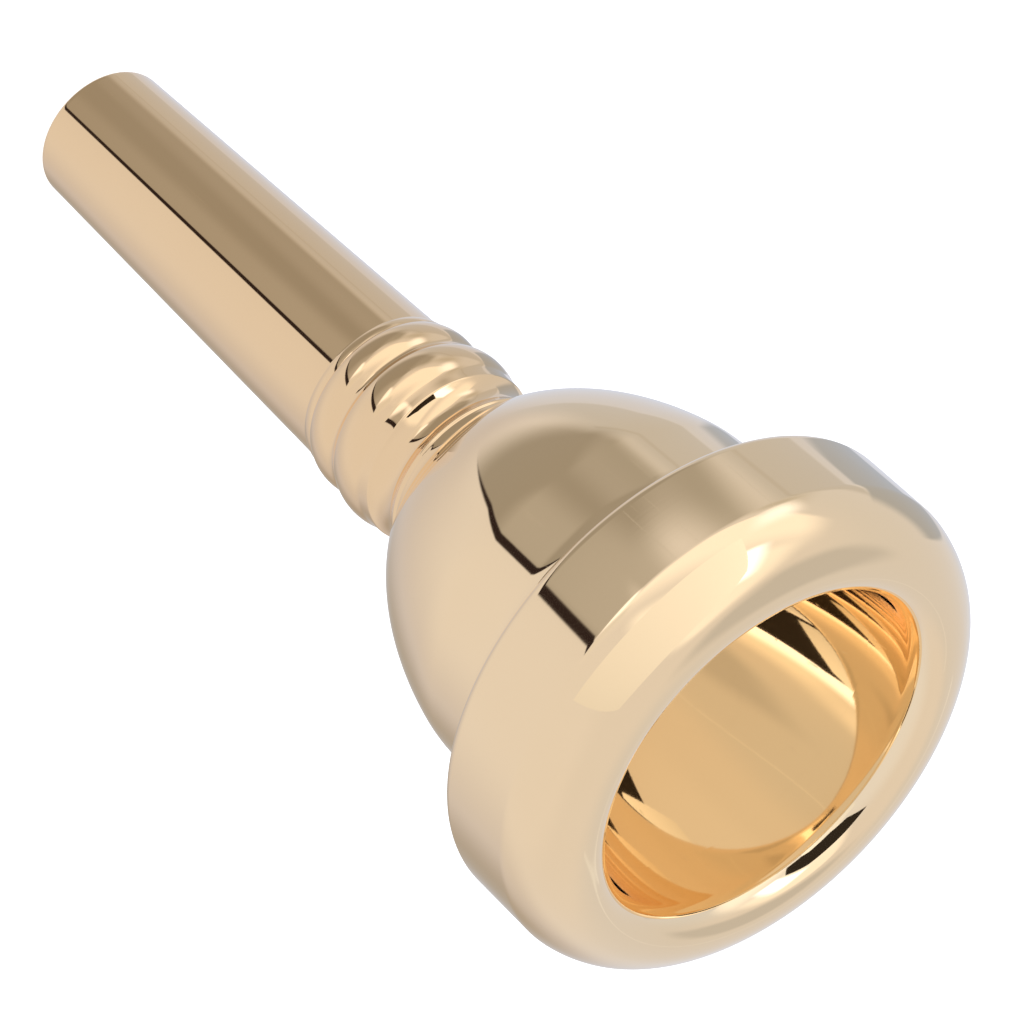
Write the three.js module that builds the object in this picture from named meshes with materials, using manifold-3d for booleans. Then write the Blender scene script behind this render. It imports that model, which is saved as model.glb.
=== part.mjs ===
// A small-shank cup mouthpiece for a trombone, of the modular kind that unscrews into rim, cup and shank.
// Millimetres, +Z up. The axis is Z, the small end of the shank stands on z = 0 and the rim faces up.

import * as THREE from 'three';
import * as BufferGeometryUtils from 'three/addons/utils/BufferGeometryUtils.js';
import Module from 'manifold-3d';

// ---- Driving dimensions -------------------------------------------------------------------------

const LENGTH = 81.2; // small end to the crest of the rim
const FACETS = 40; // sides of every round piece

// Rim
const BAND_RADIUS = 19.2;
const BAND_BACK_Z = 70.25; // back face of the band
const BAND_BACK_ROUND = 1.0;
const FACE_START_Z = 76.7; // the band's straight side ends and the rounded face starts
const CREST_RADIUS = 14.9; // radius at which the rim's face is highest
const BITE_RADIUS = 13.0; // inner edge of the rim
const BITE_Z = 79.0;

// Cup
const CUP_DEPTH = 21.0; // depth of the curve that the inside follows, from BITE_Z down
const CUP_POWER = 1.6; // 2 would make that curve an ellipse, and 1 a cone
const THROAT_RADIUS = 3.3;
const THROAT_ENTRY_RADIUS = 3.55; // the cup runs into the throat over a short flare this wide
const THROAT_ENTRY_TOP = 1.6; // where the cup's curve stops, above the throat's own top
const THROAT_ENTRY_DROP = 0.6; // how far below its top the throat has its full straight size
const BOWL_RADIUS = 14.62; // the short straight part behind the band
const BOWL_STRAIGHT_TOP_Z = 66.6; // the cove up to the band starts here
const COVE_RADIUS = 3.2; // the cove between bowl and band
const LIP_RADIUS = 18.0; // the cup's lip, which the band's back face closes on
const DOME_TOP_Z = 62.1; // the straight part ends and the dome starts here
const DOME_CENTRE_Z = 66.5;
const DOME_SEMI_RADIUS = 14.83;
const DOME_SEMI_LENGTH = 20.97;
const CUP_BASE_Z = 50.28;

// Shank
const TIP_RADIUS = 5.5;
const TAPER = 1 / 40; // growth of the radius per length: the standard 1:20 on the diameter
const TIP_ROUND = 0.25;
const TAPER_END_Z = 36.0;
const BACKBORE_TIP_RADIUS = 4.7;
const THROAT_END_Z = 50.0; // the backbore opens out from here to the small end
const COLLAR_TOP_Z = 50.25;
const NECK_RADIUS = 9.3; // edge of the collar's top face

// The collar's features, from the taper up
const LOW_RING = { radius: 6.58, z: 36.4 };
const LOW_BEAD = { fromZ: 36.95, toZ: 39.45, crestZ: 38.4, crestRadius: 7.0 };
const HIGH_BEAD = { fromZ: 40.05, toZ: 43.2, crestZ: 41.9, crestRadius: 7.32 };
const BEAD_SECTION_RADIUS = 3.0;
const LAND_TOP = { radius: 6.97, z: 44.4 };
const COVE = { centre: [8.5, 45.7], radius: 2.3, from: 212, to: 142 };
const FINE_RING = { radius: 7.0, z: 47.5 };
const NECK = { centre: [9.6, 47.6], radius: 2.65, from: 175, to: 100 };

// Threads, both right-handed
const PITCH = 1.0;
const THREAD_CLEARANCE = 0.12;
const RIM_THREAD = {
  coreRadius: 15.75, crestRadius: 16.3, bottomZ: 71.3, topZ: 74.5, openZ: 69.3, stepsPerTurn: 40,
};
const SHANK_THREAD = {
  coreRadius: 5.3, crestRadius: 5.85, bottomZ: 51.0, topZ: 54.2, openZ: 49.3, stepsPerTurn: 20,
};
const THREAD_PHASE = Math.PI / FACETS / 2; // keeps the ridges' corners off the corners of the round pieces
const RIDGE_BASE = 0.78; // width of the ridge at its foot
const RIDGE_CREST = 0.2; // width of the ridge at its crest
const RIDGE_SINK = 0.25; // how far the ridge's foot is sunk into the core
const RIDGE_FOOT_LIMIT = 0.47; // largest half width of the foot as a share of the pitch, so turns stay apart
const RUN_OUT = 0.3; // how far the cut thread runs past the end of the raised one

// Spigots, sockets and their seals
const RIM_SPIGOT_TOP_Z = 75.5;
const SHANK_SPIGOT_TOP_Z = 55.2;
const SEAT_GAP = 0.1; // between a spigot's end and the shoulder above it
const BAND_SEAT_GAP = 0.05; // between the cup's lip and the band's back face
const RIM_SEAL = { ringRadius: 14.9, wireRadius: 0.6 };
const SHANK_SEAL = { ringRadius: 4.55, wireRadius: 0.5 };
const SEAL_GAP = 0.06; // round each seal in its recess
const SEAL_SIDES = 6;

// ---- Helpers ------------------------------------------------------------------------------------

const wasm = await Module();
wasm.setup();

// Points [r, z] along an arc about a centre, from one angle to another in degrees (0 points outwards).
function arc([r, z], radius, from, to, steps) {
  const points = [];
  for (let i = 0; i <= steps; i++) {
    const angle = THREE.MathUtils.degToRad(from + ((to - from) * i) / steps);
    points.push([r + radius * Math.cos(angle), z + radius * Math.sin(angle)]);
  }
  return points;
}

// An outline of [r, z] points turned about Z. It goes up the outside and comes down the inside.
function turned(outline) {
  const points = outline.map(([r, z]) => new THREE.Vector2(r, z));
  points.push(points[0].clone());
  const geometry = new THREE.LatheGeometry(points, FACETS);
  geometry.rotateX(Math.PI / 2); // the lathe turns about Y
  return geometry;
}

function solid(geometry) {
  const bare = geometry.clone();
  bare.deleteAttribute('normal');
  bare.deleteAttribute('uv');
  const merged = BufferGeometryUtils.mergeVertices(bare, 1e-4);
  return new wasm.Manifold(new wasm.Mesh({
    numProp: 3,
    vertProperties: new Float32Array(merged.attributes.position.array),
    triVerts: new Uint32Array(merged.index.array),
  }));
}

function toGeometry(manifold) {
  const mesh = manifold.getMesh();
  const geometry = new THREE.BufferGeometry();
  geometry.setAttribute('position', new THREE.BufferAttribute(mesh.vertProperties, 3));
  geometry.setIndex(new THREE.BufferAttribute(mesh.triVerts, 1));
  geometry.computeVertexNormals();
  return geometry;
}

// A right-handed helical ridge between two heights, made larger by the clearance.
function ridge(thread, bottomZ, topZ, clearance) {
  const turns = (topZ - bottomZ) / PITCH;
  const foot = thread.coreRadius - RIDGE_SINK;
  const crest = thread.crestRadius + clearance;
  const slope = (RIDGE_BASE - RIDGE_CREST) / 2 / (thread.crestRadius - thread.coreRadius);
  const halfCrest = RIDGE_CREST / 2 + clearance / 2;
  const halfFoot = Math.min(halfCrest + slope * (crest - foot), RIDGE_FOOT_LIMIT * PITCH);
  const section = new THREE.Shape();
  section.moveTo(foot, -halfFoot);
  section.lineTo(crest, -halfCrest);
  section.lineTo(crest, halfCrest);
  section.lineTo(foot, halfFoot);
  const steps = Math.round(turns * thread.stepsPerTurn);
  const bar = new THREE.ExtrudeGeometry(section, { depth: 1, steps, bevelEnabled: false });
  const position = bar.attributes.position;
  for (let i = 0; i < position.count; i++) {
    const radius = position.getX(i);
    const share = position.getZ(i);
    // The phase depends on the height alone, so that a thread and its mate are in step.
    const z = topZ - share * (topZ - bottomZ);
    const angle = (2 * Math.PI * z) / PITCH + THREAD_PHASE;
    position.setXYZ(i, radius * Math.cos(angle), radius * Math.sin(angle), z + position.getY(i));
  }
  return solid(bar);
}

function withMaleThread(body, thread) {
  return body.add(ridge(thread, thread.bottomZ, thread.topZ, 0));
}

function withFemaleThread(body, thread) {
  return body.subtract(ridge(thread, thread.openZ, thread.topZ + RUN_OUT, THREAD_CLEARANCE));
}

// Radius of the cup's inner surface at a height.
function cupRadius(z) {
  return BITE_RADIUS * (1 - ((BITE_Z - z) / CUP_DEPTH) ** CUP_POWER) ** (1 / CUP_POWER);
}

// Radius of the bowl's outer surface at a height, below its straight part.
function domeRadius(z) {
  return DOME_SEMI_RADIUS * Math.sqrt(1 - ((DOME_CENTRE_Z - z) / DOME_SEMI_LENGTH) ** 2);
}

// Points [r, z] of a radius given as a function of the height.
function along(radiusAt, fromZ, toZ, steps) {
  const points = [];
  for (let i = 0; i <= steps; i++) {
    const z = fromZ + ((toZ - fromZ) * i) / steps;
    points.push([radiusAt(z), z]);
  }
  return points;
}

// ---- The pieces ---------------------------------------------------------------------------------

// The band with the rounded face, the bite, a recess for the seal and the internal thread.
function rim() {
  const boreRadius = RIM_THREAD.coreRadius + THREAD_CLEARANCE;
  const shoulderZ = RIM_SPIGOT_TOP_Z + SEAT_GAP;
  const recessTopZ = RIM_SPIGOT_TOP_Z + 2 * (RIM_SEAL.wireRadius + SEAL_GAP);
  const recessInner = RIM_SEAL.ringRadius - RIM_SEAL.wireRadius - SEAL_GAP;
  const faceRadial = BAND_RADIUS - CREST_RADIUS;
  const faceHeight = LENGTH - FACE_START_Z;
  const face = [];
  for (let i = 1; i <= 6; i++) {
    const angle = (i / 6) * (Math.PI / 2);
    face.push([CREST_RADIUS + faceRadial * Math.cos(angle), FACE_START_Z + faceHeight * Math.sin(angle)]);
  }
  const bite = [];
  for (let i = 1; i <= 5; i++) {
    const angle = (i / 5) * (Math.PI / 2);
    bite.push([
      CREST_RADIUS - (CREST_RADIUS - BITE_RADIUS) * Math.sin(angle),
      BITE_Z + (LENGTH - BITE_Z) * Math.cos(angle),
    ]);
  }
  const backCentre = [BAND_RADIUS - BAND_BACK_ROUND, BAND_BACK_Z + BAND_BACK_ROUND];
  const body = solid(turned([
    [boreRadius, BAND_BACK_Z],
    ...arc(backCentre, BAND_BACK_ROUND, -90, 0, 3),
    [BAND_RADIUS, FACE_START_Z],
    ...face,
    ...bite,
    [cupRadius(shoulderZ), shoulderZ],
    [recessInner, shoulderZ],
    [recessInner, recessTopZ],
    [boreRadius, recessTopZ],
  ]));
  return toGeometry(withFemaleThread(body, RIM_THREAD));
}

// The bowl: a dome with a short straight part, a cove out to the band, the cup and the throat inside.
function cup() {
  const socketRadius = SHANK_THREAD.coreRadius + THREAD_CLEARANCE;
  const socketTopZ = SHANK_SPIGOT_TOP_Z + 2 * (SHANK_SEAL.wireRadius + SEAL_GAP);
  const sleeveZ = SHANK_SPIGOT_TOP_Z + SEAT_GAP;
  const sleeveRadius = SHANK_SEAL.ringRadius - SHANK_SEAL.wireRadius - SEAL_GAP;
  const lipZ = BAND_BACK_Z - BAND_SEAT_GAP;
  const coveCentre = [BOWL_RADIUS + COVE_RADIUS, BOWL_STRAIGHT_TOP_Z];
  const throatTopZ = BITE_Z - CUP_DEPTH * (1 - (THROAT_RADIUS / BITE_RADIUS) ** CUP_POWER) ** (1 / CUP_POWER);
  const body = solid(turned([
    [socketRadius, CUP_BASE_Z],
    ...along(domeRadius, CUP_BASE_Z, DOME_TOP_Z, 8),
    ...arc(coveCentre, COVE_RADIUS, 180, 92, 4),
    [LIP_RADIUS, coveCentre[1] + COVE_RADIUS],
    [LIP_RADIUS, lipZ],
    [RIM_THREAD.coreRadius, lipZ],
    [RIM_THREAD.coreRadius, RIM_SPIGOT_TOP_Z],
    ...along(cupRadius, RIM_SPIGOT_TOP_Z, throatTopZ + THROAT_ENTRY_TOP, 7),
    [THROAT_ENTRY_RADIUS, throatTopZ],
    [THROAT_RADIUS, throatTopZ - THROAT_ENTRY_DROP],
    [THROAT_RADIUS, sleeveZ],
    [sleeveRadius, sleeveZ],
    [sleeveRadius, socketTopZ],
    [socketRadius, socketTopZ],
  ]));
  return toGeometry(withMaleThread(withFemaleThread(body, SHANK_THREAD), RIM_THREAD));
}

// The tapered tube with its beaded collar, the backbore inside it and the threaded spigot on top.
function shank() {
  const taperEndRadius = TIP_RADIUS + TAPER * TAPER_END_Z;
  const body = solid(turned([
    [BACKBORE_TIP_RADIUS, 0],
    ...arc([TIP_RADIUS - TIP_ROUND, TIP_ROUND], TIP_ROUND, -90, 0, 2),
    [taperEndRadius, TAPER_END_Z],
    ...collar(),
    [NECK_RADIUS, COLLAR_TOP_Z],
    [SHANK_THREAD.coreRadius, COLLAR_TOP_Z],
    [SHANK_THREAD.coreRadius, SHANK_SPIGOT_TOP_Z],
    [THROAT_RADIUS, SHANK_SPIGOT_TOP_Z],
    [THROAT_RADIUS, THROAT_END_Z],
  ]));
  return toGeometry(withMaleThread(body, SHANK_THREAD));
}

// Outline of the collar: a fine ring, two broad beads, a flat land, a cove, a fine ring and the neck.
function collar() {
  return [
    [LOW_RING.radius, LOW_RING.z],
    ...bead(LOW_BEAD),
    ...bead(HIGH_BEAD),
    [LAND_TOP.radius, LAND_TOP.z],
    ...arc(COVE.centre, COVE.radius, COVE.from, COVE.to, 4),
    [FINE_RING.radius, FINE_RING.z],
    ...arc(NECK.centre, NECK.radius, NECK.from, NECK.to, 4),
  ];
}

// Points [r, z] over a bead between two heights.
function bead({ fromZ, toZ, crestZ, crestRadius }) {
  const centre = crestRadius - BEAD_SECTION_RADIUS;
  return along((z) => centre + Math.sqrt(BEAD_SECTION_RADIUS ** 2 - (z - crestZ) ** 2), fromZ, toZ, 4);
}

// A round rubber ring at a height.
function seal({ ringRadius, wireRadius }, centreZ) {
  const section = arc([ringRadius, centreZ], wireRadius, -90, 270 - 360 / SEAL_SIDES, SEAL_SIDES - 1);
  return toGeometry(solid(turned(section)));
}

// ---- The object ---------------------------------------------------------------------------------

const plating = { color: 0xd9b88a, roughness: 0.12, metalness: 1.0 };
const rubber = { color: 0x1c1b1a, roughness: 0.7, metalness: 0.0 };

const mouthpiece = new THREE.Group();

function place(name, geometry, finish) {
  const mesh = new THREE.Mesh(geometry, new THREE.MeshStandardMaterial(finish));
  mesh.name = name;
  mouthpiece.add(mesh);
}

place('shank', shank(), plating);
place('shank_seal', seal(SHANK_SEAL, SHANK_SPIGOT_TOP_Z + SHANK_SEAL.wireRadius + SEAL_GAP), rubber);
place('cup', cup(), plating);
place('rim_seal', seal(RIM_SEAL, RIM_SPIGOT_TOP_Z + RIM_SEAL.wireRadius + SEAL_GAP), rubber);
place('rim', rim(), plating);

export default mouthpiece;
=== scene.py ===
# Looks of the mouthpiece: turned and gold-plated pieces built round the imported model, in metres.
import math

import bpy
from mathutils import Matrix, Vector


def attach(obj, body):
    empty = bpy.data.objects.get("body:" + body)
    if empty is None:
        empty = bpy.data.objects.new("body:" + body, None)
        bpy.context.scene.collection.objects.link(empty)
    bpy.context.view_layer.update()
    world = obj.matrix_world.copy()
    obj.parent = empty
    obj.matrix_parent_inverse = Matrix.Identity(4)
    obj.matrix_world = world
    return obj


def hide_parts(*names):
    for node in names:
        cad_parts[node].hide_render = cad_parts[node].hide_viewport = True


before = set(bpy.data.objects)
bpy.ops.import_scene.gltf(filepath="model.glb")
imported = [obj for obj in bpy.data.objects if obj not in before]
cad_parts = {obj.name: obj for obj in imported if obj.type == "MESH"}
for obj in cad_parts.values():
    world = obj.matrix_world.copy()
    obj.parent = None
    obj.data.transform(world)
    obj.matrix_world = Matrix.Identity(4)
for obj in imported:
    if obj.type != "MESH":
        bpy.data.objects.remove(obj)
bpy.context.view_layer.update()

MM = 0.001
SEGMENTS = 240  # sides of a turned piece
THREAD_ROWS = 12  # rows of points per turn of a thread
SHARP_ANGLE = math.radians(28)  # edges sharper than this stay crisp
SOFT_ANGLE = math.radians(25)  # softened() leaves corners that turn less than this
SOFT_SHARE = 0.4  # softened() takes at most this share of a side
BEAD_STEPS = 18
BITE_STEPS = 24

# Profile of the object, in millimetres from the small end of the shank.
LENGTH = 81.2
BAND_RADIUS = 19.2
BAND_BACK_Z = 70.25
BAND_BACK_ROUND = 1.0
# The outer half of the rim's face, from the band up to the crest.
# Each arc is (radius, tilt of the surface at its end in degrees).
FACE_ARCS = [(2.4, 12), (6.2, 26), (4.88, 60), (3.617, 90)]
FACE_START_Z = 76.7
CREST_RADIUS = 14.9
BITE_RADIUS = 13.0
BITE_Z = 79.0

CUP_DEPTH = 21.0
CUP_POWER = 1.6
THROAT_RADIUS = 3.3
CUP_CURVE_END = 1.6  # the cup's curve ends this far above the throat
THROAT_FLARE = [(1.0, 0.8), (0.36, 0.1), (0.12, -0.2), (0, -0.7)]  # (wider than the throat, above it)
BOWL_RADIUS = 14.62
BOWL_STRAIGHT_TOP_Z = 66.6
COVE_RADIUS = 3.2
LIP_RADIUS = 18.0
LIP_GAP = 0.05  # between the cup's lip and the band
LIP_ROUND = 0.05
DOME_TOP_Z = 60.2
DOME_BEND_RADIUS = 13.0
SIDE_TILT = 1.3  # of the bowl's side above the dome, in degrees
DOME_CENTRE_Z = 66.5
DOME_SEMI_RADIUS = 14.83
DOME_SEMI_LENGTH = 20.97
CUP_BASE_Z = 50.28

TIP_RADIUS = 5.5
TIP_ROUND = 0.25
TAPER = 1 / 40
TAPER_END_Z = 36.0
TAPER_ROWS = (0.3, 0.5, 1, 6, 12, 18, 24, 30, 34, 35.5, 35.9, 35.97)
BACKBORE_TIP_RADIUS = 4.7
BACKBORE_TIP_ROUND = 0.12
THROAT_END_Z = 50.0
COLLAR_TOP_Z = 50.25
NECK_RADIUS = 9.3
NECK_CHAMFER = (0.04, 0.03)  # radius, z

# The collar from the taper up. Points are (radius, z), beads are the arguments of bead() and
# arcs those of arc().
LOW_RING = [(6.47, 36.15), (6.56, 36.4), (6.6, 36.7), (6.58, 36.9)]
LOW_BEAD = (36.95, 39.5, 38.4, 7.0, 3.0)
BEAD_GROOVE = [(6.755, 39.62), (6.735, 39.75), (6.745, 39.88)]
HIGH_BEAD = (40.0, 43.2, 41.9, 7.32, 3.6)
LAND = [(7.035, 43.35), (7.01, 43.5), (6.99, 44.0)]
LAND_EDGE = (6.72, 44.35, 0.25, 0, 45, 6)
COLLAR_COVE = (8.311, 45.941, 2.0, 225, 138, 28)
FINE_RING = (6.82, 47.55, 0.18, -35, 40, 6)
NECK_FOOT = [(6.925, 47.74), (6.93, 47.82)]
NECK = (9.6, 47.6, 2.65, 173, 98, 24)

PITCH = 1.0
THREAD_CLEARANCE = 0.12
THREAD_ROOT = 0.22  # share of the half pitch that the groove's floor takes
THREAD_FLANK = 0.58  # share that the flank takes
THREAD_LEAD = 0.5  # a thread rises to its full height over this length
RIM_THREAD = {"core": 15.75, "crest": 16.3, "bottom": 71.3, "top": 74.5}
SHANK_THREAD = {"core": 5.3, "crest": 5.85, "bottom": 51.0, "top": 54.2}
RIM_SPIGOT_TOP_Z = 75.5
SHANK_SPIGOT_TOP_Z = 55.2
SPIGOT_CHAMFER = 0.15
SEAT_GAP = 0.1
RIM_SEAL = (14.9, 0.6)  # radius of the ring, radius of its section
SHANK_SEAL = (4.55, 0.5)
SEAL_STEPS = 28
SEAL_GAP = 0.06
SEAM_Z = RIM_SPIGOT_TOP_Z + 0.001  # the rim closes on the cup here, so that the seam hardly shows


# ---- Outlines -----------------------------------------------------------------------------------


def arc(r, z, radius, start, end, steps):
    """Points along an arc round the centre (r, z), angles in degrees with 0 pointing outwards."""
    points = []
    for i in range(steps + 1):
        angle = math.radians(start + (end - start) * i / steps)
        points.append((r + radius * math.cos(angle), z + radius * math.sin(angle)))
    return points


def along(radius_at, start, end, steps):
    """Points (radius_at(z), z) at even heights from start to end."""
    points = []
    for i in range(steps + 1):
        z = start + (end - start) * i / steps
        points.append((radius_at(z), z))
    return points


def cup_radius(z):
    """Radius of the cup's inside at a height: a curve between an ellipse and a cone."""
    return BITE_RADIUS * (1 - ((BITE_Z - z) / CUP_DEPTH) ** CUP_POWER) ** (1 / CUP_POWER)


def dome_radius(z):
    return DOME_SEMI_RADIUS * math.sqrt(1 - ((DOME_CENTRE_Z - z) / DOME_SEMI_LENGTH) ** 2)


def dome_slope(z):
    """How fast the dome widens with height."""
    rise = (DOME_CENTRE_Z - z) / DOME_SEMI_LENGTH
    return DOME_SEMI_RADIUS / DOME_SEMI_LENGTH * rise / math.sqrt(1 - rise**2)


def bead(start, end, crest_z, crest_radius, section):
    """A round bead between two heights: an arc of the section's radius."""
    centre = crest_radius - section
    return along(lambda z: centre + math.sqrt(section**2 - (z - crest_z) ** 2), start, end, BEAD_STEPS)


def softened(points, radius, steps=3):
    """The outline with each sharp corner cut by a small round of about that radius."""
    out = []
    count = len(points)
    for i, p in enumerate(points):
        a, c = points[i - 1], points[(i + 1) % count]
        u = Vector((a[0] - p[0], a[1] - p[1]))
        v = Vector((c[0] - p[0], c[1] - p[1]))
        if u.length < 1e-6 or v.length < 1e-6:  # a repeated point
            continue
        turn = math.pi - u.angle(v)
        if turn < SOFT_ANGLE:
            out.append(p)
            continue
        cut = min(radius * math.tan(turn / 2), SOFT_SHARE * u.length, SOFT_SHARE * v.length)
        start = Vector(p) + u.normalized() * cut
        end = Vector(p) + v.normalized() * cut
        for k in range(steps + 1):
            t = k / steps
            q = (1 - t) ** 2 * start + 2 * t * (1 - t) * Vector(p) + t**2 * end
            out.append((q.x, q.y))
    return out


def thread_radius(thread, clearance, z, angle):
    """Radius of a right-handed thread at a height and an angle."""
    height = thread["crest"] - thread["core"]
    phase = (z / PITCH - angle / (2 * math.pi)) % 1.0
    flank = 1.0 - abs(2 * phase - 1)  # 0 in the groove, 1 on the crest
    ridge = min(max((flank - THREAD_ROOT) / THREAD_FLANK, 0), 1)
    lead_in = min(max((z - thread["bottom"]) / THREAD_LEAD, 0), 1)
    lead_out = min(max((thread["top"] - z) / THREAD_LEAD, 0), 1)
    return thread["core"] + clearance + height * ridge * lead_in * lead_out


def thread_rows(thread, clearance, upwards):
    """Outline entries (radius function, z) for the rows of a thread."""
    rows = int((thread["top"] - thread["bottom"]) / PITCH * THREAD_ROWS)
    zs = [thread["bottom"] + (thread["top"] - thread["bottom"]) * i / rows for i in range(rows + 1)]
    if not upwards:
        zs.reverse()
    return [(lambda angle, z=z: thread_radius(thread, clearance, z, angle), z) for z in zs]


# ---- Meshes -------------------------------------------------------------------------------------


def turned(name, outline):
    """A closed outline turned about Z. A radius may be a number or a function of the angle."""
    rows = len(outline)
    vertices = []
    for r, z in outline:
        for i in range(SEGMENTS):
            angle = 2 * math.pi * i / SEGMENTS
            radius = (r(angle) if callable(r) else r) * MM
            vertices.append((radius * math.cos(angle), radius * math.sin(angle), z * MM))
    faces = []
    for k in range(rows):
        a, b = k * SEGMENTS, (k + 1) % rows * SEGMENTS
        for i in range(SEGMENTS):
            j = (i + 1) % SEGMENTS
            faces.append((a + i, a + j, b + j, b + i))
    mesh = bpy.data.meshes.new(name)
    mesh.from_pydata(vertices, [], faces)
    mesh.validate()
    mesh.shade_smooth()
    mesh.set_sharp_from_angle(angle=SHARP_ANGLE)
    obj = bpy.data.objects.new(name, mesh)
    bpy.context.scene.collection.objects.link(obj)
    return obj


def rim_outline():
    """The band and face outside, the cup's mouth, the seal's recess and the thread inside."""
    bore = RIM_THREAD["core"] + THREAD_CLEARANCE
    shoulder = RIM_SPIGOT_TOP_Z + SEAT_GAP
    recess_top = RIM_SPIGOT_TOP_Z + 2 * (RIM_SEAL[1] + SEAL_GAP)
    recess_inner = RIM_SEAL[0] - RIM_SEAL[1] - SEAL_GAP
    back_r, back_z = BAND_RADIUS - BAND_BACK_ROUND, BAND_BACK_Z + BAND_BACK_ROUND
    band = [(bore, BAND_BACK_Z)] + arc(back_r, back_z, BAND_BACK_ROUND, -90, 0, 12)
    band.append((BAND_RADIUS, FACE_START_Z))
    face = []
    r, z, tilt = BAND_RADIUS, FACE_START_Z, 0
    for radius, end in FACE_ARCS:
        cos, sin = math.cos(math.radians(tilt)), math.sin(math.radians(tilt))
        face += arc(r - radius * cos, z - radius * sin, radius, tilt, end, 14)[1:]
        (r, z), tilt = face[-1], end
    for i in range(1, BITE_STEPS + 1):
        angle = math.pi / 2 * i / BITE_STEPS
        r = CREST_RADIUS - (CREST_RADIUS - BITE_RADIUS) * math.sin(angle)
        face.append((r, BITE_Z + (LENGTH - BITE_Z) * math.cos(angle)))
    inside = along(cup_radius, BITE_Z, SEAM_Z, 12)[1:]
    inside += [(recess_inner, SEAM_Z), (recess_inner, shoulder)]
    recess = [(recess_inner, recess_top), (bore, recess_top)]
    return band + face + inside + recess + thread_rows(RIM_THREAD, THREAD_CLEARANCE, upwards=False)


def cup_outline():
    """The bowl, cove and lip, the thread that holds the rim, the cup, the throat and the socket."""
    socket = SHANK_THREAD["core"] + THREAD_CLEARANCE
    socket_top = SHANK_SPIGOT_TOP_Z + 2 * (SHANK_SEAL[1] + SEAL_GAP)
    sleeve_z = SHANK_SPIGOT_TOP_Z + SEAT_GAP
    sleeve = SHANK_SEAL[0] - SHANK_SEAL[1] - SEAL_GAP
    lip_z = BAND_BACK_Z - LIP_GAP
    cove_r, cove_z = BOWL_RADIUS + COVE_RADIUS, BOWL_STRAIGHT_TOP_Z
    share = 1 - (THROAT_RADIUS / BITE_RADIUS) ** CUP_POWER
    throat_top = BITE_Z - CUP_DEPTH * share ** (1 / CUP_POWER)
    outside = [(socket, CUP_BASE_Z)] + along(dome_radius, CUP_BASE_Z, DOME_TOP_Z, 56)
    side_tilt = math.degrees(math.atan(dome_slope(DOME_TOP_Z)))
    bend_r = dome_radius(DOME_TOP_Z) - DOME_BEND_RADIUS * math.cos(math.radians(side_tilt))
    bend_z = DOME_TOP_Z + DOME_BEND_RADIUS * math.sin(math.radians(side_tilt))
    outside += arc(bend_r, bend_z, DOME_BEND_RADIUS, -side_tilt, -SIDE_TILT, 12)[1:]
    outside += arc(cove_r, cove_z, COVE_RADIUS, 180, 92, 24)
    lip = [(LIP_RADIUS, cove_z + COVE_RADIUS), (LIP_RADIUS, lip_z), (RIM_THREAD["core"], lip_z)]
    lip = softened(lip, LIP_ROUND)
    top = [(RIM_THREAD["core"] - SPIGOT_CHAMFER, RIM_SPIGOT_TOP_Z)]
    inside = along(cup_radius, RIM_SPIGOT_TOP_Z, throat_top + CUP_CURVE_END, 60)
    inside += [(THROAT_RADIUS + wider, throat_top + above) for wider, above in THROAT_FLARE]
    inside += [(THROAT_RADIUS, sleeve_z), (sleeve, sleeve_z), (sleeve, socket_top), (socket, socket_top)]
    outline = outside + lip + thread_rows(RIM_THREAD, 0, upwards=True) + top + inside
    return outline + thread_rows(SHANK_THREAD, THREAD_CLEARANCE, upwards=False)


def shank_outline():
    """The small end, the taper, the collar, the thread that holds the cup, and the backbore."""
    inner_tip = BACKBORE_TIP_RADIUS + BACKBORE_TIP_ROUND
    outline = arc(inner_tip, BACKBORE_TIP_ROUND, BACKBORE_TIP_ROUND, 180, 270, 4)
    outline += arc(TIP_RADIUS - TIP_ROUND, TIP_ROUND, TIP_ROUND, -90, 0, 8)
    outline += [(TIP_RADIUS + TAPER * z, z) for z in TAPER_ROWS]
    outline += [(TIP_RADIUS + TAPER * TAPER_END_Z, TAPER_END_Z)]
    outline += LOW_RING + bead(*LOW_BEAD)
    outline += BEAD_GROOVE + bead(*HIGH_BEAD)
    outline += LAND + arc(*LAND_EDGE) + arc(*COLLAR_COVE)[1:]
    outline += arc(*FINE_RING) + NECK_FOOT + arc(*NECK)
    chamfer_r, chamfer_z = NECK_CHAMFER
    outline += [(NECK_RADIUS, COLLAR_TOP_Z - chamfer_z), (NECK_RADIUS - chamfer_r, COLLAR_TOP_Z)]
    outline += [(SHANK_THREAD["core"], COLLAR_TOP_Z)]
    outline += thread_rows(SHANK_THREAD, 0, upwards=True)
    outline += [(SHANK_THREAD["core"] - SPIGOT_CHAMFER, SHANK_SPIGOT_TOP_Z)]
    return outline + [(THROAT_RADIUS, SHANK_SPIGOT_TOP_Z), (THROAT_RADIUS, THROAT_END_Z)]


def seal_outline(seal, spigot_top):
    """The round section of an O-ring that lies on a spigot."""
    radius, wire = seal
    return arc(radius, spigot_top + wire + SEAL_GAP, wire, -90, 270 - 360 / SEAL_STEPS, SEAL_STEPS - 1)


# ---- Materials ----------------------------------------------------------------------------------

MIX_FACTOR, MIX_A, MIX_B = 0, 6, 7  # inputs of a Mix node that mixes colours
MIX_RESULT = 2

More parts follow.
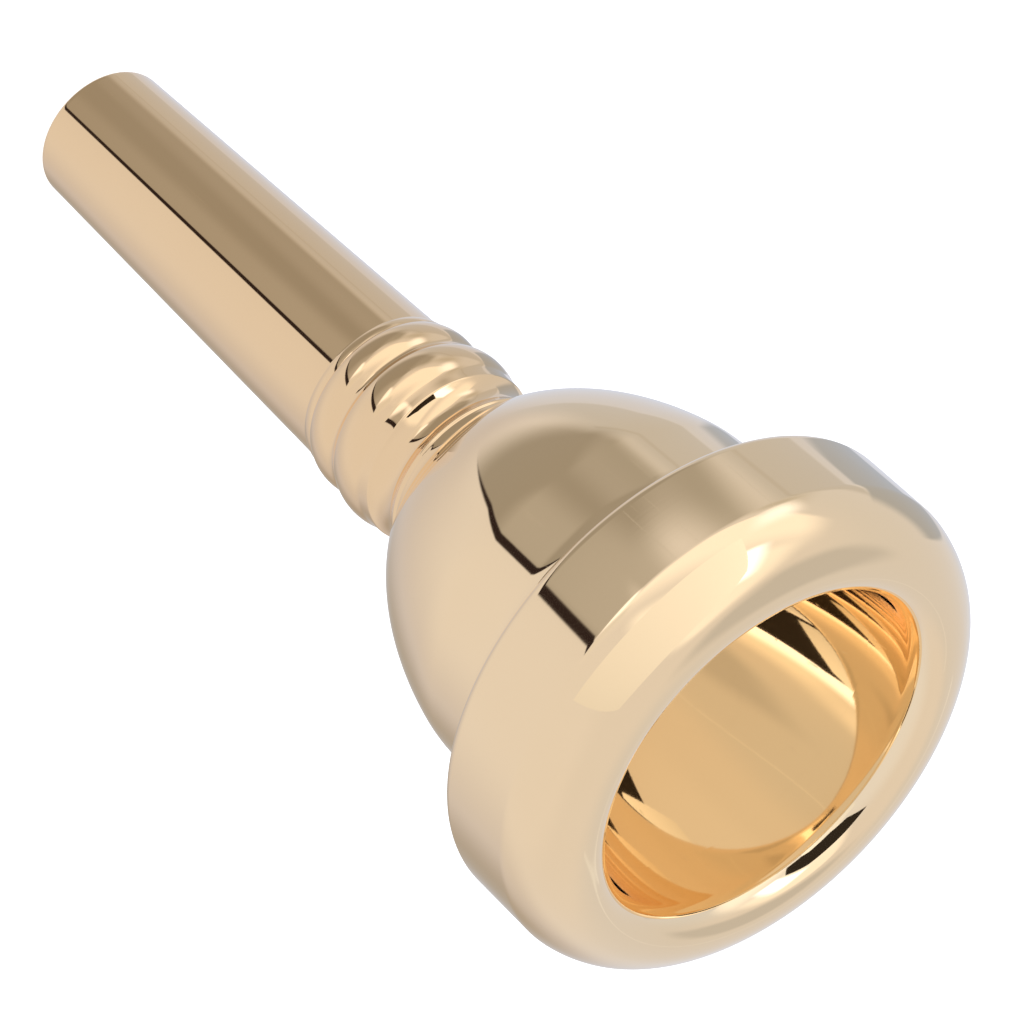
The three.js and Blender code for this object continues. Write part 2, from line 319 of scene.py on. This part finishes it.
# The plating. Noise scales are per metre, and heights and radii in metres.
CLOUD_SCALE = 90
POLISH = (0.025, 0.06)  # roughness, from the glossiest cloud to the dullest
MOUTH_PALE_TINT = (0.965, 0.775, 0.515)
MOUTH_PALE_RADIUS = (0.0138, 0.0132)  # from none to all of the paler tint
MOUTH_PALE_Z = (0.062, 0.079)
RUB_TURN = (0.5, 0.3, 0.7)
RUB_SCALE = (2500, 2500, 60)
RUB_NOISE = (0.66, 0.74)  # a rub mark starts and is full at these values of the noise
RUB_ROUGHNESS = 0.10
WAVE_SCALE, WAVE_HEIGHT = 260, 0.0000015
RING_SCALE, RING_HEIGHT = 2600, 0.00000025

# The seals' rubber
GRAIN_SCALE, GRAIN_HEIGHT = 900, 0.00005


def node(tree, kind, **values):
    made = tree.nodes.new(kind)
    for key, value in values.items():
        setattr(made, key, value)
    return made


def new_material(name):
    material = bpy.data.materials.new(name)
    material.use_nodes = True
    return material, material.node_tree, material.node_tree.nodes["Principled BSDF"]


def feed(tree, target, value):
    """Link a socket to the output it takes its value from, or set the value itself."""
    if isinstance(value, bpy.types.NodeSocket):
        tree.links.new(value, target)
    else:
        target.default_value = value


def mapped(tree, value, start=(0, 1), end=(0, 1), smooth=False):
    """Map the range start onto the range end, evenly or with soft ends."""
    made = node(tree, "ShaderNodeMapRange", interpolation_type="SMOOTHSTEP" if smooth else "LINEAR")
    made.inputs["From Min"].default_value, made.inputs["From Max"].default_value = start
    made.inputs["To Min"].default_value, made.inputs["To Max"].default_value = end
    feed(tree, made.inputs["Value"], value)
    return made.outputs["Result"]


def mixed(tree, factor, a, b):
    """Mix two colours."""
    made = node(tree, "ShaderNodeMix", data_type="RGBA")
    feed(tree, made.inputs[MIX_FACTOR], factor)
    feed(tree, made.inputs[MIX_A], a)
    feed(tree, made.inputs[MIX_B], b)
    return made.outputs[MIX_RESULT]


def product(tree, a, b):
    made = node(tree, "ShaderNodeMath", operation="MULTIPLY")
    feed(tree, made.inputs[0], a)
    feed(tree, made.inputs[1], b)
    return made.outputs[0]


def noise(tree, place, scale, detail=2):
    made = node(tree, "ShaderNodeTexNoise")
    made.inputs["Scale"].default_value = scale
    made.inputs["Detail"].default_value = detail
    feed(tree, made.inputs["Vector"], place)
    return made.outputs["Fac"]


def bump(tree, height, distance, strength=1, normal=None):
    """Raise the surface by a height, on top of an earlier bump's normal if there is one."""
    made = node(tree, "ShaderNodeBump")
    made.inputs["Strength"].default_value = strength
    made.inputs["Distance"].default_value = distance
    feed(tree, made.inputs["Height"], height)
    if normal is not None:
        feed(tree, made.inputs["Normal"], normal)
    return made.outputs["Normal"]


def gold(name, light, dark):
    """Lacquered plating: cloudy tint, faint turning rings, slight waviness and hairline rub marks."""
    material, tree, shader = new_material(name)
    shader.inputs["Metallic"].default_value = 1.0
    shader.inputs["Coat Weight"].default_value = 1.0
    shader.inputs["Coat Roughness"].default_value = 0.03
    shader.inputs["Coat IOR"].default_value = 1.5
    place = node(tree, "ShaderNodeTexCoord").outputs["Object"]
    split = node(tree, "ShaderNodeSeparateXYZ")
    feed(tree, split.inputs["Vector"], place)
    height = split.outputs["Z"]
    cloud = noise(tree, place, CLOUD_SCALE, detail=3)
    tint = mixed(tree, cloud, (*light, 1), (*dark, 1))

    # the cup's inner wall is a little paler towards its mouth
    flat = node(tree, "ShaderNodeVectorMath", operation="MULTIPLY")
    feed(tree, flat.inputs[0], place)
    flat.inputs[1].default_value = (1, 1, 0)
    radius = node(tree, "ShaderNodeVectorMath", operation="LENGTH")
    feed(tree, radius.inputs[0], flat.outputs["Vector"])
    inner = mapped(tree, radius.outputs["Value"], start=MOUTH_PALE_RADIUS, smooth=True)
    mouth = mapped(tree, height, start=MOUTH_PALE_Z, smooth=True)
    mouth_pale = mixed(tree, product(tree, inner, mouth), tint, (*MOUTH_PALE_TINT, 1))
    feed(tree, shader.inputs["Base Color"], mouth_pale)

    # hairline rub marks: thin streaks of a stretched noise, rougher than the rest
    stretch = node(tree, "ShaderNodeMapping")
    stretch.inputs["Rotation"].default_value = RUB_TURN
    stretch.inputs["Scale"].default_value = RUB_SCALE
    feed(tree, stretch.inputs["Vector"], place)
    streak = noise(tree, stretch.outputs["Vector"], 1)
    rubbed = node(tree, "ShaderNodeMath", operation="MULTIPLY_ADD")
    feed(tree, rubbed.inputs[0], mapped(tree, streak, start=RUB_NOISE))
    rubbed.inputs[1].default_value = RUB_ROUGHNESS
    feed(tree, rubbed.inputs[2], mapped(tree, cloud, end=POLISH))
    feed(tree, shader.inputs["Roughness"], rubbed.outputs[0])

    # waviness of the polish, and rings left by turning
    rings = node(tree, "ShaderNodeTexNoise", noise_dimensions="1D")
    rings.inputs["Scale"].default_value = RING_SCALE
    feed(tree, rings.inputs["W"], height)
    waves = bump(tree, noise(tree, place, WAVE_SCALE), WAVE_HEIGHT)
    turning = bump(tree, rings.outputs["Fac"], RING_HEIGHT, normal=waves)
    feed(tree, shader.inputs["Normal"], turning)
    feed(tree, shader.inputs["Coat Normal"], turning)
    return material


def rubber():
    """Black rubber with a fine grain."""
    material, tree, shader = new_material("seal_rubber")
    shader.inputs["Roughness"].default_value = 0.55
    place = node(tree, "ShaderNodeTexCoord").outputs["Object"]
    grain = noise(tree, place, GRAIN_SCALE)
    tint = mixed(tree, grain, (0.010, 0.010, 0.010, 1), (0.022, 0.021, 0.020, 1))
    feed(tree, shader.inputs["Base Color"], tint)
    feed(tree, shader.inputs["Normal"], bump(tree, grain, GRAIN_HEIGHT, strength=0.3))
    return material


# ---- The object ---------------------------------------------------------------------------------

GOLD = gold("gold_plating", (0.965, 0.74, 0.465), (0.945, 0.715, 0.44))
# a darker, deeper copy of the gold for the shank: painted shade that makes the shank look darker than
# the rim and cup
SHADED_SHANK_GOLD = gold("gold_plating_shank_painted_shade", (0.915, 0.66, 0.385), (0.895, 0.635, 0.36))
RUBBER = rubber()


def piece(name, outline, body, material):
    """A turned piece that rides on a body and stands for that body's CAD solid."""
    obj = turned(name, outline)
    obj.data.materials.append(material)
    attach(obj, body)
    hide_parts(body)
    return obj


piece("rim_plated", rim_outline(), "rim", GOLD)
piece("cup_plated", cup_outline(), "cup", GOLD)
# the shank takes the darker copy of the gold, which is painted shade
piece("shank_plated", shank_outline(), "shank", SHADED_SHANK_GOLD)
rim_ring = seal_outline(RIM_SEAL, RIM_SPIGOT_TOP_Z)
piece("rim_o_ring", rim_ring, "rim_seal", RUBBER)
shank_ring = seal_outline(SHANK_SEAL, SHANK_SPIGOT_TOP_Z)
piece("shank_o_ring", shank_ring, "shank_seal", RUBBER)

# ---- Camera -------------------------------------------------------------------------------------

AIM = Vector((-0.0003, 0, 0.0516))
DISTANCE = 0.3458
ELEVATION = math.radians(35.79)
ROLL = math.radians(-133.17)
FOCAL_LENGTH = 175.78
SENSOR_WIDTH = 36

forward = Vector((0, math.cos(ELEVATION), -math.sin(ELEVATION)))
level_right = Vector((1, 0, 0))
level_up = level_right.cross(forward)
up = math.cos(ROLL) * level_up + math.sin(ROLL) * level_right
right = forward.cross(up)

camera_data = bpy.data.cameras.new("camera")
camera_data.lens = FOCAL_LENGTH
camera_data.sensor_width = SENSOR_WIDTH
camera_data.clip_start = 0.01
camera = bpy.data.objects.new("camera", camera_data)
bpy.context.scene.collection.objects.link(camera)
turn = Matrix((right, up, -forward)).transposed().to_4x4()
camera.matrix_world = Matrix.Translation(AIM - forward * DISTANCE) @ turn
bpy.context.scene.camera = camera

# ---- Studio -------------------------------------------------------------------------------------


def studio_direction(longitude, latitude):
    """A direction from the object, in degrees: 0, 0 points back to the camera, 90, 0 to its right."""
    lon, lat = math.radians(longitude), math.radians(latitude)
    level = math.sin(lon) * right - math.cos(lon) * forward
    return math.cos(lat) * level + math.sin(lat) * up


# Light panels round the object, painted in this order. Each one is a colour, its corners as
# (longitude, latitude), and the softness of its edges, in degrees.
BASE = (0.80, 0.80, 0.84)  # where no panel is
PANELS = [
    # right-hand wall
    ((0.73, 0.75, 0.81), [(80, 75), (80, -50), (179, -50), (179, 75)], 20),
    # left wall, which darkens towards its far corner
    ((0.83, 0.83, 0.87), [(-110, 20), (-110, -60), (-10, -60), (-10, 20)], 15),
    ((0.64, 0.62, 0.64), [(178, 42), (178, -50), (-124, -50), (-124, 42)], [10, 12, 24, 10]),
    ((0.46, 0.41, 0.35), [(-176, 6), (-148, 4), (-144, -34), (-172, -40)], 12),
    # panels behind the object, on its right
    ((0.68, 0.71, 0.80), [(150, 42), (150, 4), (-165, 4), (-165, 42)], 8),
    ((0.60, 0.61, 0.64), [(128, 71), (128, 37), (-165, 37), (-165, 66)], [3, 1, 8, 5]),
    ((0.56, 0.56, 0.57), [(128, 66), (128, 64), (-172, 60), (-172, 62)], 0.6),
    ((0.45, 0.49, 0.56), [(125, 37), (156, 37), (171, 13), (150, 10), (125, 10)], [1, 1, 1, 1, 6]),
    # ceiling: dim on the left, where it meets the left wall at the slit
    ((0.60, 0.59, 0.57), [(80, 86), (85, 60), (128, 60), (140, 80)], 8),
    ((0.44, 0.43, 0.41), [(-165, 70), (-60, 76), (40, 84), (100, 84), (160, 74)], [10, 8, 8, 5, 4]),
    ((0.37, 0.355, 0.33), [(-128, 42), (-62, 26), (-57, 52), (-60, 80), (170, 70), (-165, 58)],
     [0.8, 2, 2, 9, 6, 9]),
    # the part of the dim ceiling nearest to the key light is lighter
    ((0.52, 0.51, 0.50), [(-76, 34), (-60, 28), (-52, 52), (-50, 66), (-70, 60)], [3, 3, 3, 6, 10]),
    # key light in front and above, with its hot spots
    ((1.18, 1.16, 1.16), [(-58, 23), (-56, 66), (-20, 76), (70, 79), (106, 62), (68, 22)],
     [1.2, 2, 5, 5, 9, 14]),
    ((1.15, 1.14, 1.14), [(-40, 20), (62, 24), (54, -8), (42, -25), (14, -26), (-6, 0)],
     [6, 8, 5, 6, 6, 5]),
    ((1.45, 1.45, 1.55), [(-58, 29), (-57, 50), (-48, 48), (-46, 38)], 2.5),
    ((1.4, 1.45, 1.6), [(45, 57), (60, 70), (95, 65), (80, 55)], 6),
    ((1.9, 2.0, 2.4), [(28, 4), (28, 36), (46, 36), (46, 6)], [2, 3, 5, 4]),
    # a dimmer notch under the key light's left end
    ((0.84, 0.84, 0.85), [(-56, 18), (-52, 30), (-38, 38), (-34, 30), (-50, 16)], [3, 3, 3, 4, 4]),
    # dimmer patch low on the right
    ((0.60, 0.62, 0.67), [(60, -4), (80, 4), (100, -5), (95, -35), (66, -40), (54, -26)], 6),
    # bright seam low on the right, seen as a thin line inside the cup
    ((0.85, 0.89, 0.95), [(104.5, -58), (126, -30), (126.9, -30), (105.6, -58)], 0.3),
    # dark slit between left wall and ceiling
    ((0.03, 0.02, 0.02), [(-128, 42), (-58, 26), (-58, 20)], [0.5, 0.7, 0.5]),
]


# The cards close to the rim. The gap's corners are (right, up) from the rim's centre and the near
# card's are (x, z), all in millimetres.
GAP_DISTANCE = 60
GAP_OUTLINE = [(6, -28), (20, -16), (34, 4), (34, 36), (16, 60), (-10, 34), (-14, 4)]
GAP_STRENGTH = 0.03
NEAR_BRIGHT_X, NEAR_DIM_X = -12.5, 6.5
NEAR_OUTLINE = [(-12.5, 78.2), (6.5, 78.2), (6.5, 87.4), (-10, 87.5), (-12.5, 85)]
NEAR_STRENGTH = (0.88, 1.22)  # from the dim end to the bright one

FLOOR_HALF = 3.0
FLOOR_GLOW = 0.75


def studio():
    """Paint the panels on the world, with each one's mask made from the planes through its edges."""
    world = bpy.data.worlds.new("studio")
    world.use_nodes = True
    tree = world.node_tree
    place = node(tree, "ShaderNodeTexCoord").outputs["Generated"]
    colour = (*BASE, 1)
    for panel, corners, softness in PANELS:
        corners = [studio_direction(*corner) for corner in corners]
        centre = sum(corners, Vector())
        if not isinstance(softness, list):
            softness = [softness] * len(corners)
        mask = None
        for a, b, soft in zip(corners, corners[1:] + corners[:1], softness):
            normal = a.cross(b).normalized()
            if normal.dot(centre) < 0:
                normal.negate()
            side = node(tree, "ShaderNodeVectorMath", operation="DOT_PRODUCT")
            feed(tree, side.inputs[0], place)
            side.inputs[1].default_value = normal
            reach = math.sin(math.radians(soft))
            edge = mapped(tree, side.outputs["Value"], start=(-reach, reach), smooth=True)
            mask = edge if mask is None else product(tree, mask, edge)
        colour = mixed(tree, mask, colour, (*panel, 1))
    feed(tree, tree.nodes["Background"].inputs["Color"], colour)
    bpy.context.scene.world = world


def flat_sheet(name, corners):
    """A stage object of one flat face."""
    mesh = bpy.data.meshes.new(name)
    mesh.from_pydata(corners, [], [list(range(len(corners)))])
    obj = bpy.data.objects.new(name, mesh)
    bpy.context.scene.collection.objects.link(obj)
    return obj


def floor():
    """A plain pale floor, which the metal doesn't reflect."""
    half = FLOOR_HALF
    obj = flat_sheet("floor", [(-half, -half, 0), (half, -half, 0), (half, half, 0), (-half, half, 0)])
    material, _, shader = new_material("floor")
    shader.inputs["Base Color"].default_value = (0.8, 0.8, 0.8, 1)
    shader.inputs["Roughness"].default_value = 0.9
    shader.inputs["Emission Color"].default_value = (1, 1, 1, 1)
    shader.inputs["Emission Strength"].default_value = FLOOR_GLOW
    obj.data.materials.append(material)
    obj.visible_glossy = False
    obj.visible_shadow = False


def reflected_only(name, corners, colour, strength):
    """A flat card that is seen in the metal and nowhere else."""
    obj = flat_sheet(name, corners)
    material, tree, shader = new_material(name)
    obj.data.materials.append(material)
    tree.nodes.remove(shader)
    light = node(tree, "ShaderNodeEmission")
    light.inputs["Color"].default_value = (*colour, 1)
    feed(tree, light.inputs["Strength"], strength(tree) if callable(strength) else strength)
    feed(tree, tree.nodes["Material Output"].inputs["Surface"], light.outputs[0])
    obj.visible_camera = False
    obj.visible_diffuse = False
    obj.visible_shadow = False


def dark_gap():
    """The dark gap round the camera, close in front of the rim."""
    middle = Vector((0, 0, LENGTH * MM)) - GAP_DISTANCE * MM * forward
    corners = [middle + (x * right + y * up) * MM for x, y in GAP_OUTLINE]
    reflected_only("dark_gap", corners, (1, 0.8, 0.65), GAP_STRENGTH)


def near_card():
    """A small lit card at the rim's near side, which hides the dark gap from it."""
    corners = [Vector((x, -BAND_RADIUS, z)) * MM for x, z in NEAR_OUTLINE]
    ends = (NEAR_DIM_X * MM, NEAR_BRIGHT_X * MM)

    def strength(tree):
        across = node(tree, "ShaderNodeSeparateXYZ")
        feed(tree, across.inputs["Vector"], node(tree, "ShaderNodeTexCoord").outputs["Object"])
        return mapped(tree, across.outputs["X"], start=ends, end=NEAR_STRENGTH)

    reflected_only("near_card", corners, (1, 1, 1), strength)


studio()
floor()
dark_gap()
near_card()
scene = bpy.context.scene
scene.cycles.glossy_bounces = 12  # light bounces several times inside the cup
scene.cycles.max_bounces = 14
scene.view_settings.view_transform = "Standard"
scene.view_settings.look = "None"
